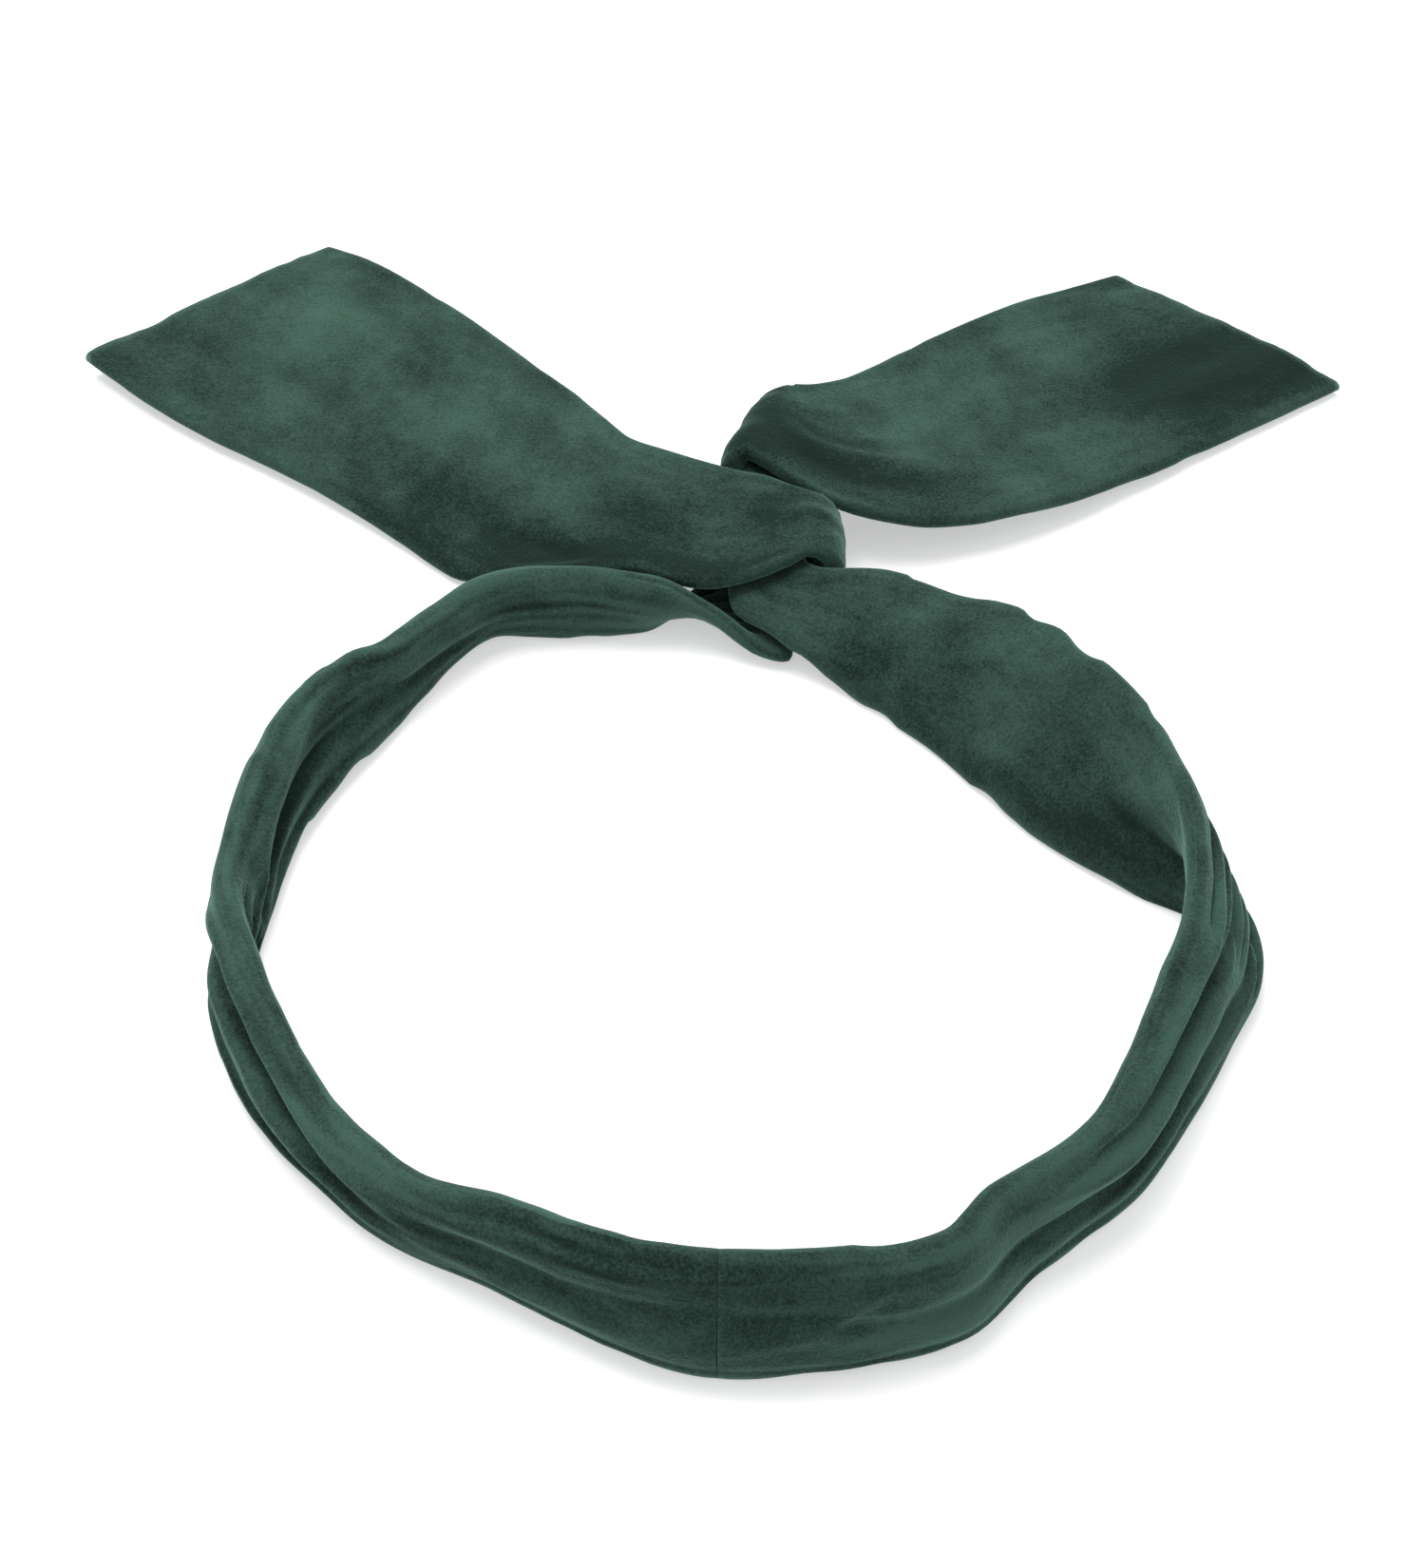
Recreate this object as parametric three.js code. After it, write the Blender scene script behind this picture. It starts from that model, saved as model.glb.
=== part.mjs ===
// A knotted headband: one flat suede sleeve with a wire frame inside, closed at the nape and twisted into
// a knot whose two ends stand out as tails. Millimetres, +Z up, resting on z = 0, nape towards -Y.
import * as THREE from 'three';
import { mergeVertices } from 'three/addons/utils/BufferGeometryUtils.js';

// Driving sizes.
const BAND_WIDTH = 54;        // the finished sleeve laid flat
const SLEEVE_THICKNESS = 4.4; // outside to outside where the sleeve lies flat
const LOOP_THICKNESS = 6;     // outside to outside where the sleeve is bunched into the wall of the loop
const FABRIC = 0.7;           // one layer of suede with its backing
const WIRE_DIAMETER = 1.4;
const LAYER_GAP = 0.9;        // air between the layers stacked in the knot
const LOOP_SCALE_X = 1;       // 1 gives a loop 170 across
const LOOP_SCALE_Y = 1;       // 1 gives a loop 160 from knot to nape
const TAIL_SCALE = 1;         // 1 gives tails 85 and 95 past their bends
const JOINT_GAP = 0.8;        // cut between a tail and the band where the tail bends
const HEM_DEPTH = 6;          // turned-in end of each tail
const HEM_THICKNESS = 1.8;
const SEAM_ALLOWANCE = 6;     // turned-in cloth on each side of the nape seam
const SEAM_GAP = 1.2;
const TAPE_LENGTH = 16;       // tape round the joined wire ends
const TAPE_WALL = 0.4;
const TAPE_FROM_NAPE = 26;    // middle of the tape, along the band on its right side
const SEAM_CLOTH = 0.4;
const RUNNING_GAP = 0.3;      // between pieces that touch
const FOOT_PRESS = 0.75;      // how far the standing edge of the loop is flattened on the ground

// Mesh fineness.
const STEP = 7;
const MOST_TWIST = 0.22;      // radians that the sleeve may twist from one ring to the next
const ROUND_STEPS = 3;
const WIRE_SIDES = 6;
const STEPS_PER_POINT = 1.2;

const KNOT = new THREE.Vector3(11.1, 41.2, 0);
const NOMINAL_WIDTH = 54;
const KNOT_SCALE = BAND_WIDTH / NOMINAL_WIDTH;
const WIRE_RADIUS = WIRE_DIAMETER / 2;

// Heights of the three layers of the knot, and of the fold between the upper two.
const LEVEL_LOW = SLEEVE_THICKNESS / 2 + 0.3;
const LEVEL_STEP = SLEEVE_THICKNESS + LAYER_GAP;
const LEVEL_MID = LEVEL_LOW + LEVEL_STEP;
const LEVEL_TOP = LEVEL_MID + LEVEL_STEP;

const SUEDE = { color: '#2f423c', roughness: 0.9 };
const SUEDE_BACK = { color: '#26352f', roughness: 0.95 };
const WIRE = { color: '#8d8f90', roughness: 0.4, metalness: 1 };
const TAPE = { color: '#20231f', roughness: 0.7 };

// A station says where the middle of the sleeve is, which way its second edge points and how wide it is:
// [x, y from the knot, height, compass angle of the second edge, its slope, width].
const LEFT_TAIL = [
  [-111.4, 79, 5, 35, 4, 57],
  [-95.5, 66.4, 4.8, 50, 4, 58],
  [-79.5, 53.2, 5.2, 57, 5, 54],
  [-64.3, 39.2, 6, 61, 6, 51],
  [-51.5, 26.2, 6.8, 62, 7, 49],
];
const LEFT_HINGE = [-47.6, 22.4, 7.2, 62, 7, 48];
const LEFT_TOP = [
  [-40, 16.8, 8.6, 66, 8, 42],
  [-31, 11.8, 10.6, 73, 8, 33],
  [-22, 8.2, 12.3, 79, 5, 28],
  [-10.5, 4.6, LEVEL_TOP, 84, 2, 25.6],
  [-2, 4.4, LEVEL_TOP, 87, 0, 23.4],
  [3.6, 4.2, LEVEL_TOP, 91, 0, 19],
];
const LEFT_TURN = { x: 8.8, y: 3.4, compass: 94, width: 16, drift: 1.2 };
const LEFT_UNDER = [
  [3.8, 1.4, LEVEL_LOW, 99, 0, 18],
  [0.8, -3.4, LEVEL_LOW, 107, 0, 21.4],
  [-2.2, -8.8, LEVEL_LOW, 114, 0, 26],
  [-8.4, -10.4, LEVEL_LOW + 0.4, 119, -6, 22],
  [-14.6, -10.2, LEVEL_LOW + 2.5, 124, -32, 15],
];
const LEFT_WALL = [
  [-22, -10, 8, 126, -70, 14.4],
  [-34.7, -10.1, 8, 291, -80, 15],
  [-51.8, -11.8, 8.2, 77, -82, 16],
  [-60.1, -19.2, 8.4, 60, -74, 16.4],
  [-67, -29, 8.6, 20, -76, 17.2],
  [-74.3, -37.2, 8.6, 325, -62, 18.4],
  [-82.1, -48.7, 8.6, 304, -55, 19],
  [-87.1, -61.2, 8.6, 304, -60, 18.6],
  [-90.2, -78, 8.6, 306, -64, 17.6],
  [-91.3, -89.5, 8.6, 316, -76, 17],
  [-89.7, -103.2, 8.6, 190, -70, 17],
  [-84.6, -117.6, 8.6, 170, -56, 17.4],
  [-77.4, -130.5, 8.6, 161, -52, 17.6],
  [-69, -140.4, 8.8, 160, -60, 17.2],
  [-58.7, -150.2, 9.2, 164, -72, 18],
  [-44.9, -157.2, 10.2, 194, -80, 20],
  [-32.1, -164.6, 11.2, 221, -83, 22],
  [-20.4, -170.2, 12, 250, -80, 24],
];
const NAPE = [-10, -172.8, 12.6, 270, -78, 25];
const RIGHT_WALL = [
  [10.6, -171.3, 12.4, 280, -82, 24.6],
  [26, -166.7, 12, 303, -81, 23.6],
  [34.2, -157.5, 11.6, 329, -77, 22.6],
  [44, -149.3, 11.2, 350, -78, 22],
  [52.8, -141.1, 11.4, 10, -72, 22.6],
  [61.4, -126, 11.8, 8, -66, 24],
  [67.8, -111.9, 12, 7, -63, 25],
  [72.1, -98.7, 12, 0, -60, 25.4],
  [66.9, -81.4, 12, 300, -66, 25],
  [59.1, -66.1, 12, 240, -50, 29],
  [50.4, -51, 11.8, 226, -40, 32],
  [36.8, -34.3, 11, 219, -35, 29],
  [22.1, -20.9, 9.8, 214, -24, 23],
];
const RIGHT_OVER = [
  [10.4, -13, LEVEL_MID + 1.2, 209, -8, 16.4],
  [1.2, -6.6, LEVEL_MID + 0.3, 206, 0, 13],
  [-1.2, 2.5, LEVEL_MID, 202, 0, 13.6],
  [-0.6, 12, LEVEL_MID, 206, 0, 14.4],
  [0.4, 19, LEVEL_MID, 224, 0, 17],
];
const RIGHT_FOLD = { x: -2.4, y: 29, compass: 250, width: 21, drift: -4 };
const RIGHT_TOP = [
  [3.8, 31, LEVEL_TOP, 268, -2, 23.6],
  [9.5, 28.3, LEVEL_TOP - 0.6, 288, -5, 30],
  [16.6, 26.6, 11.6, 300, -8, 36],
];
const RIGHT_HINGE = [24.6, 28.4, 10, 306, -8, 41];
const RIGHT_TAIL = [
  [28.6, 30.6, 9.2, 307, -7, 43],
  [38, 37, 7.8, 311, -6, 46.4],
  [50, 45.6, 6.4, 315, -5, 50],
  [68.4, 57.7, 5.2, 318, -4, 53],
  [90.8, 70.6, 5, 327, -4, 51.6],
];

/** Turns a station row into its middle, its edge-to-edge direction and its half width. */
function station(row, place, thickness) {
  const [x, y, height, compass, slope, width] = row;
  const side = new THREE.Vector3(1, 0, 0)
    .applyAxisAngle(new THREE.Vector3(0, 1, 0), -THREE.MathUtils.degToRad(slope))
    .applyAxisAngle(new THREE.Vector3(0, 0, 1), THREE.MathUtils.degToRad(compass));
  const middle = place(x, y).add(KNOT);
  middle.z = height;
  return { middle, side, half: (width * KNOT_SCALE) / 2, thickness };
}

const inKnot = (x, y) => new THREE.Vector3(x * KNOT_SCALE, y * KNOT_SCALE, 0);
const inLoop = (x, y) => new THREE.Vector3(x * LOOP_SCALE_X, y * LOOP_SCALE_Y, 0);

/** Places a tail's stations so that only the stretch past its bend follows the tail length. */
function pastHinge(hinge) {
  const [hx, hy] = hinge;
  return (x, y) => inKnot(hx, hy).add(inKnot(x - hx, y - hy).multiplyScalar(TAIL_SCALE));
}

const flat = (rows, place) => rows.map((row) => station(row, place, SLEEVE_THICKNESS));
const wall = (rows) => rows.map((row) => standing(station(row, inLoop, LOOP_THICKNESS)));

/** Lowers or lifts a wall station until the edge it stands on presses lightly on the ground. */
function standing(at) {
  const reach = at.half - at.thickness / 2;
  at.middle.z = Math.abs(at.side.z) * reach + at.thickness / 2 - FOOT_PRESS;
  return at;
}

const TURN_ANGLES = [-90, -54, -18, 18, 54, 90];

/** A half circle of stations that carries the sleeve from one layer up to another while it drifts along the bend. */
function turn({ centre, compass, width, radius, drift }) {
  const side = compassVector(compass);
  const outward = compassVector(compass - 90);
  const half = (width * KNOT_SCALE) / 2;
  return TURN_ANGLES.map((angle) => {
    const a = THREE.MathUtils.degToRad(angle);
    const middle = centre.clone()
      .addScaledVector(outward, Math.cos(a) * radius)
      .addScaledVector(side, (drift * KNOT_SCALE * angle) / 90);
    middle.z += Math.sin(a) * radius;
    return { middle, side: side.clone(), half, thickness: SLEEVE_THICKNESS };
  });
}

function compassVector(angle) {
  const a = THREE.MathUtils.degToRad(angle);
  return new THREE.Vector3(Math.cos(a), Math.sin(a), 0);
}

/** The left strand's bend, just clear of the strand that it holds. */
function leftTurn() {
  const { x, y, compass, width, drift } = LEFT_TURN;
  const radius = LEVEL_STEP;
  const centre = inKnot(x, y).add(KNOT);
  centre.x += SLEEVE_THICKNESS / 2 + RUNNING_GAP - radius;
  centre.z = LEVEL_MID;
  return turn({ centre, compass, width, radius, drift }).reverse();
}

/** The right strand's fold behind the knot. */
function rightFold() {
  const { x, y, compass, width, drift } = RIGHT_FOLD;
  const radius = LEVEL_STEP / 2;
  const centre = inKnot(x, y).add(KNOT);
  centre.z = LEVEL_MID + radius;
  return turn({ centre, compass, width, radius, drift });
}

/** Smooth interpolation between stations, with a ring about every STEP of length or MOST_TWIST. */
function smooth(stations) {
  const out = [];
  const pick = (i) => stations[i] ?? beyondEnd(stations, i);
  for (let i = 0; i < stations.length - 1; i += 1) {
    const span = [pick(i - 1), pick(i), pick(i + 1), pick(i + 2)];
    const length = span[1].middle.distanceTo(span[2].middle);
    const twist = span[1].side.angleTo(span[2].side);
    const count = Math.max(1, Math.round(length / STEP), Math.ceil(twist / MOST_TWIST));
    for (let k = 0; k < count; k += 1) out.push(between(span, k / count));
  }
  out.push(stations[stations.length - 1]);
  return out;
}

/** A made-up station one step before the first or after the last. */
function beyondEnd(stations, i) {
  const [end, next] = i < 0 ? stations : [...stations].reverse();
  const mirror = (key) => end[key].clone().multiplyScalar(2).sub(next[key]);
  return { middle: mirror('middle'), side: mirror('side'), half: 2 * end.half - next.half };
}

/** A point between stations b and c on a centripetal Catmull-Rom line, which doesn't loop at tight bends. */
function between([a, b, c, d], t) {
  const knot = (p, q) => Math.max(Math.sqrt(p.middle.distanceTo(q.middle)), 1e-3);
  const [first, span, last] = [knot(a, b), knot(b, c), knot(c, d)];
  const mix = (p, q, r, s) => {
    const slopeIn = span * ((q - p) / first - (r - p) / (first + span) + (r - q) / span);
    const slopeOut = span * ((r - q) / span - (s - q) / (span + last) + (s - r) / last);
    const rise = 2 * (q - r) + slopeIn + slopeOut;
    return ((rise * t - 3 * (q - r) - 2 * slopeIn - slopeOut) * t + slopeIn) * t + q;
  };
  const mixVector = (key) => new THREE.Vector3(
    mix(a[key].x, b[key].x, c[key].x, d[key].x),
    mix(a[key].y, b[key].y, c[key].y, d[key].y),
    mix(a[key].z, b[key].z, c[key].z, d[key].z),
  );
  return {
    middle: mixVector('middle'),
    side: mixVector('side').normalize(),
    half: mix(a.half, b.half, c.half, d.half),
    thickness: THREE.MathUtils.lerp(b.thickness, c.thickness, t),
  };
}

/** Adds to every ring the direction out of the sleeve's face. */
function withNormals(rings) {
  return rings.map((ring, i) => {
    const before = rings[Math.max(0, i - 1)].middle;
    const after = rings[Math.min(rings.length - 1, i + 1)].middle;
    const along = after.clone().sub(before).normalize();
    const face = along.clone().cross(ring.side).normalize();
    return { ...ring, along, face };
  });
}

/** The outline of a flattened tube: two straight faces joined by round edges. */
function outline(ring, half, thickness, floor = 0) {
  const radius = thickness / 2;
  const points = [];
  for (const end of [1, -1]) {
    for (let k = 0; k <= ROUND_STEPS; k += 1) {
      const a = (end > 0 ? -Math.PI / 2 : Math.PI / 2) + (k / ROUND_STEPS) * Math.PI;
      const across = end * (half - radius) + Math.cos(a) * radius;
      points.push(ring.middle.clone()
        .addScaledVector(ring.side, across)
        .addScaledVector(ring.face, Math.sin(a) * radius));
    }
  }
  points.forEach((p) => {
    p.z = Math.max(p.z, floor);
  });
  return points;
}

function quads(rows, flip) {
  const faces = [];
  const size = rows[0].length;
  for (let i = 0; i < rows.length - 1; i += 1) {
    for (let j = 0; j < size; j += 1) {
      const next = (j + 1) % size;
      const [p, q, r, s] = [rows[i][j], rows[i + 1][j], rows[i + 1][next], rows[i][next]];
      if (flip) faces.push([p, r, q], [p, s, r]);
      else faces.push([p, q, r], [p, r, s]);
    }
  }
  return faces;
}

function solid(faces) {
  const positions = new Float32Array(faces.flat().flatMap((p) => [p.x, p.y, p.z]));
  const geometry = new THREE.BufferGeometry();
  geometry.setAttribute('position', new THREE.BufferAttribute(positions, 3));
  const merged = mergeVertices(geometry, 1e-4);
  merged.computeVertexNormals();
  return merged;
}

function openTube(outer, inner) {
  const last = outer.length - 1;
  return solid([
    ...quads(outer, true),
    ...quads(inner, false),
    ...quads([outer[0], inner[0]], false),
    ...quads([outer[last], inner[last]], true),
  ]);
}

/** A run of outlines closed at both ends. */
function capped(rows) {
  const cap = (row, flip) => {
    const faces = [];
    for (let j = 1; j < row.length - 1; j += 1) {
      faces.push(flip ? [row[0], row[j + 1], row[j]] : [row[0], row[j], row[j + 1]]);
    }
    return faces;
  };
  return solid([...quads(rows, true), ...cap(rows[0], true), ...cap(rows[rows.length - 1], false)]);
}

/** A flattened cloth tube open at both ends, drawn in by `inset` when it lies inside another. */
function sleeve(rings, cloth = FABRIC, inset = 0) {
  const ringsAt = (depth) => rings.map((r) => outline(r, r.half - depth, r.thickness - 2 * depth, depth));
  return openTube(ringsAt(inset), ringsAt(inset + cloth));
}

/** The turned-in cloth that fills the open end of a tail. */
function hem(run) {
  const rings = withNormals(firstPart(run, HEM_DEPTH));
  return capped(rings.map((r) => outline(r, r.half - FABRIC - RUNNING_GAP, HEM_THICKNESS)));
}

/** The middle of the wire at one sleeve edge; `edge` is 1 for the second edge and -1 for the first. */
function edgePoint(ring, edge) {
  const point = ring.middle.clone().addScaledVector(ring.side, edge * (ring.half - ring.thickness / 2));
  point.z = Math.max(point.z, FABRIC + RUNNING_GAP + WIRE_RADIUS);
  return point;
}

/** Circles round one sleeve edge, in the planes of the sleeve's own rings. */
function circles(rings, edge, radius) {
  return rings.map((ring) => {
    const centre = edgePoint(ring, edge);
    return Array.from({ length: WIRE_SIDES }, (_, k) => {
      const a = (k / WIRE_SIDES) * 2 * Math.PI;
      return centre.clone()
        .addScaledVector(ring.side, Math.cos(a) * radius)
        .addScaledVector(ring.face, Math.sin(a) * radius);
    });
  });
}

/** The wire along one edge of a run of the sleeve. */
function edgeWire(rings, edge) {
  return capped(circles(withNormals(rings), edge, WIRE_RADIUS));
}

/** A tube of tape round the wire. */
function tapeTube(rings, edge) {
  const run = withNormals(rings);
  const bore = WIRE_RADIUS + RUNNING_GAP;
  return openTube(circles(run, edge, bore + TAPE_WALL), circles(run, edge, bore));
}

/** A round rod along a smooth line through the points. */
function rod(points, radius) {
  const section = new THREE.Shape();
  for (let k = 0; k < WIRE_SIDES; k += 1) {
    const a = (k / WIRE_SIDES) * 2 * Math.PI;
    if (k === 0) section.moveTo(Math.cos(a) * radius, Math.sin(a) * radius);
    else section.lineTo(Math.cos(a) * radius, Math.sin(a) * radius);
  }
  section.closePath();
  const geometry = new THREE.ExtrudeGeometry(section, {
    steps: Math.round(points.length * STEPS_PER_POINT),
    extrudePath: new THREE.CatmullRomCurve3(points, false, 'centripetal'),
    bevelEnabled: false,
  });
  geometry.deleteAttribute('normal');
  geometry.deleteAttribute('uv');
  return mergeVertices(geometry, 1e-4);
}

/** Cuts the first `length` off a run of rings. */
function trimmed(rings, length) {
  let left = length;
  for (let i = 0; i < rings.length - 1; i += 1) {
    const gap = rings[i].middle.distanceTo(rings[i + 1].middle);
    if (gap > left) {
      const t = left / gap;
      const a = rings[i];
      const b = rings[i + 1];
      const cut = {
        middle: a.middle.clone().lerp(b.middle, t),
        side: a.side.clone().lerp(b.side, t).normalize(),
        half: THREE.MathUtils.lerp(a.half, b.half, t),
        thickness: THREE.MathUtils.lerp(a.thickness, b.thickness, t),
      };
      return [cut, ...rings.slice(i + 1)];
    }
    left -= gap;
  }
  return rings;
}

const trimmedBoth = (rings, start, end) => trimmed(trimmed(rings, start).reverse(), end).reverse();

/** The first `length` of a run of rings. */
function firstPart(rings, length) {
  const total = rings.slice(1).reduce((sum, r, i) => sum + r.middle.distanceTo(rings[i].middle), 0);
  return trimmed([...rings].reverse(), total - length).reverse();
}

// The whole band in one run, from the left tail's end round the loop to the right tail's end.
const leftHinge = station(LEFT_HINGE, inKnot, SLEEVE_THICKNESS);
const rightHinge = station(RIGHT_HINGE, inKnot, SLEEVE_THICKNESS);
const nape = standing(station(NAPE, inLoop, LOOP_THICKNESS));
const leftTailRun = smooth([...flat(LEFT_TAIL, pastHinge(LEFT_HINGE)), leftHinge]);
const leftLoopRun = smooth([leftHinge, ...flat(LEFT_TOP, inKnot), ...leftTurn(),
  ...flat(LEFT_UNDER, inKnot), ...wall(LEFT_WALL), nape]);
const rightLoopRun = smooth([nape, ...wall(RIGHT_WALL), ...flat(RIGHT_OVER, inKnot), ...rightFold(),
  ...flat(RIGHT_TOP, inKnot), rightHinge]);
const rightTailRun = smooth([rightHinge, ...flat(RIGHT_TAIL, pastHinge(RIGHT_HINGE))]);

const leftLoop = withNormals(trimmedBoth(leftLoopRun, JOINT_GAP / 2, SEAM_GAP / 2));
const rightLoop = withNormals(trimmedBoth(rightLoopRun, SEAM_GAP / 2, JOINT_GAP / 2));
const leftTail = withNormals(trimmedBoth(leftTailRun, 0, JOINT_GAP / 2));
const rightTail = withNormals(trimmedBoth(rightTailRun, JOINT_GAP / 2, 0));

/** The wire inside one tail: out along one edge, across behind the hem and back along the other edge. */
function hairpin(run) {
  const inside = trimmedBoth(run, HEM_DEPTH + RUNNING_GAP + WIRE_RADIUS, JOINT_GAP / 2 + RUNNING_GAP);
  const [first, ...rest] = inside;
  const ends = [edgePoint(first, 1), edgePoint(first, -1)];
  const across = [0.06, 0.14, 0.5, 0.86, 0.94].map((t) => ends[0].clone().lerp(ends[1], t));
  const out = rest.map((r) => edgePoint(r, 1)).reverse();
  const back = rest.map((r) => edgePoint(r, -1));
  return rod([...out, ...across, ...back], WIRE_RADIUS);
}

const pulledIn = (rings) => trimmedBoth(rings, RUNNING_GAP, RUNNING_GAP);
const reversed = (rings) => [...rings].reverse();
const wholeLoopRun = [...leftLoopRun, ...rightLoopRun.slice(1)];
const lowerLeftRun = [...leftLoopRun, ...firstPart(rightLoopRun, TAPE_FROM_NAPE).slice(1)];
const lowerRightRun = trimmed(rightLoopRun, TAPE_FROM_NAPE);
const tapeRun = trimmed(
  firstPart(rightLoopRun, TAPE_FROM_NAPE + TAPE_LENGTH / 2),
  TAPE_FROM_NAPE - TAPE_LENGTH / 2,
);
const seamRun = withNormals([
  ...reversed(firstPart(reversed(leftLoopRun), SEAM_ALLOWANCE)),
  ...firstPart(rightLoopRun, SEAM_ALLOWANCE).slice(1),
]);

const group = new THREE.Group();

function add(name, geometry, { color, roughness, metalness = 0 }) {
  const mesh = new THREE.Mesh(geometry, new THREE.MeshStandardMaterial({ color, roughness, metalness }));
  mesh.name = name;
  group.add(mesh);
}

add('left_loop_sleeve', sleeve(leftLoop), SUEDE);
add('right_loop_sleeve', sleeve(rightLoop), SUEDE);
add('left_tail_sleeve', sleeve(leftTail), SUEDE);
add('right_tail_sleeve', sleeve(rightTail), SUEDE);
add('nape_seam', sleeve(seamRun, SEAM_CLOTH, FABRIC + RUNNING_GAP), SUEDE_BACK);
add('left_end_hem', hem(leftTailRun), SUEDE_BACK);
add('right_end_hem', hem(reversed(rightTailRun)), SUEDE_BACK);
add('upper_loop_wire', edgeWire(pulledIn(wholeLoopRun), -1), WIRE);
add('lower_left_wire', edgeWire(pulledIn(lowerLeftRun), 1), WIRE);
add('lower_right_wire', edgeWire(pulledIn(lowerRightRun), 1), WIRE);
add('wire_joint_tape', tapeTube(tapeRun, 1), TAPE);
add('left_tail_wire', hairpin(leftTailRun), WIRE);
add('right_tail_wire', hairpin(reversed(rightTailRun)), WIRE);

export default group;
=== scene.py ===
import math

import bpy
import numpy as np
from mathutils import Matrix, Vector, noise


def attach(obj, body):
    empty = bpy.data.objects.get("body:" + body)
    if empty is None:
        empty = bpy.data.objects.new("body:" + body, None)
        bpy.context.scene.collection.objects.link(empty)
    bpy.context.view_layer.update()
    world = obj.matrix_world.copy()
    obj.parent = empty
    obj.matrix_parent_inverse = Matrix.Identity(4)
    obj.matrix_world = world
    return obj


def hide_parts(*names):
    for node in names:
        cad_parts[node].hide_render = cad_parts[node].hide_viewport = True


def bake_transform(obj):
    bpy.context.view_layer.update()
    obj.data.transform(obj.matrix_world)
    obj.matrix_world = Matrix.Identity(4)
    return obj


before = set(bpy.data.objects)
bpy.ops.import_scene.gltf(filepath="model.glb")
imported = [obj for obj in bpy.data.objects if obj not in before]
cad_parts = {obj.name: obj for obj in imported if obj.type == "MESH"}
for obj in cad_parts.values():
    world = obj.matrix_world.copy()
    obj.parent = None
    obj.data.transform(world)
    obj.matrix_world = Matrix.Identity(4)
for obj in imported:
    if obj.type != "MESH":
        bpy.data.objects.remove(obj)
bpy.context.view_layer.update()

MM = 0.001


# ---------------------------------------------------------------------------------------------------------
# The band. One flat sleeve of suede cloth, about 54 mm wide and 830 mm long, sewn from two halves that meet
# at the nape. It is described by stations along its middle: where the middle is, which way the second of
# its two wired edges points, how wide it is there and how thick.

KNOT = np.array([11.1, 41.2, 0.0])
LAYER = [2.5, 7.8, 13.1]          # heights of the three layers stacked in the knot
FLAT = 3.4                        # thickness where the sleeve lies flat
KNOTTED = 4.6                     # pressed into the knot
BUNCHED = 7.6                     # bunched up as the wall of the loop
CLOTH = 0.6                       # one layer of suede
RIM = 1.4                         # radius of the wired edges
WIRE_RADIUS = 0.7
WIRE_IN = 1.6                     # from the edge of the sleeve to the middle of its wire
CLEAR_OF_GROUND = 1.6             # lowest height of a wire's middle
FOOT = 0.75                       # how far the standing edge is pressed flat on the ground
NAPE_EASE = 20                    # the cloth lies smoother over this distance from the nape seam
UPPER_SWELL = 0.75                # share of the half width over which the first edge swells to full thickness
LOWER_SWELL = 0.45                # and the second
TUCK_GAP = 1.2                    # least gap inside, between the bottom of a tuck and the other face
TUCK_CLEAR = 0.1                  # tucks start this far inside the wire
TUCK_FADE = 1.1                   # and reach their full depth over this distance
RUMPLE = 0.7                      # height of the fine unevenness
STEP = 1.6                        # spacing of the mesh rings along the band
ACROSS = 72                       # mesh columns on each face of the sleeve


def station(x, y, height, compass, slope, width, thickness=FLAT):
    """Middle, edge direction, half width and thickness. A height of None stands the sleeve on the ground."""
    c, s = math.radians(compass), math.radians(slope)
    side = np.array([math.cos(c) * math.cos(s), math.sin(c) * math.cos(s), math.sin(s)])
    if height is None:
        thickness = BUNCHED
        height = abs(side[2]) * (width / 2 - 3) + 3 - FOOT
    middle = KNOT + np.array([x, y, height])
    return np.concatenate([middle, side, [width / 2, thickness]])


def bend(x, y, compass, width, radius, drift, low, offset=0.0):
    """Half a turn that carries the sleeve from a lower layer of the knot up to a higher one."""
    side = np.array([math.cos(math.radians(compass)), math.sin(math.radians(compass)), 0.0])
    out = np.array([side[1], -side[0], 0.0])
    rows = []
    for angle in (-90, -54, -18, 18, 54, 90):
        a = math.radians(angle)
        middle = KNOT + np.array([x + offset, y, low + radius]) + side * drift * angle / 90
        middle = middle + out * math.cos(a) * radius + np.array([0, 0, math.sin(a) * radius])
        rows.append(np.concatenate([middle, side, [width / 2, KNOTTED]]))
    return rows


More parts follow.
